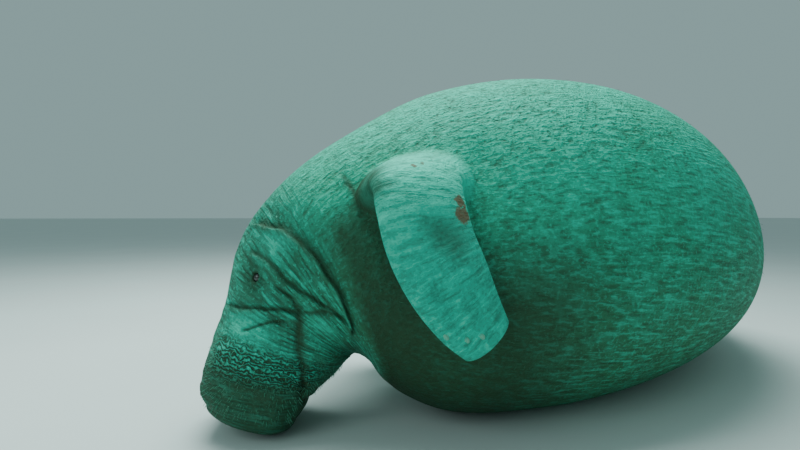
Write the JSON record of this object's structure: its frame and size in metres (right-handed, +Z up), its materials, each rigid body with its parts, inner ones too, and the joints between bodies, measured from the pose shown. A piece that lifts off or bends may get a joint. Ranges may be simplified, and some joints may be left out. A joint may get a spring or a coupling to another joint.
{
  "type": "manatee model",
  "caption": "Still, life-size model of a manatee resting on the bottom, head hanging to feed, fore-flippers hanging, rounded body curving back to a broad flat tail.",
  "frame": {"origin": "on the floor, under the middle of the whole model", "axes": "+Z up, -X forwards past the head, -Y to the animal's left, tail curving off towards +X and +Y"},
  "size_m": [2.4752, 2.0582, 0.8322],
  "materials": {
    "head_skin": "rough, finely wrinkled grey-green hide, darker round the eye",
    "body_skin": "rough grey-green hide with fine lengthwise wrinkles, paler on the back",
    "flipper_skin": "paler grey-green hide, rust-brown patch on the trailing edge",
    "eye": "wet, dark and glossy"
  },
  "bodies": {
    "root": {"muzzle": "head_skin", "head": "head_skin", "lower_jaw": "head_skin", "neck": "body_skin", "shoulders": "body_skin", "barrel": "body_skin", "loin": "body_skin", "tail_stock": "body_skin", "tail_paddle": "body_skin", "left_flipper": "flipper_skin", "right_flipper": "flipper_skin", "left_eye": "eye", "right_eye": "eye"}
  },
  "joints": []
}
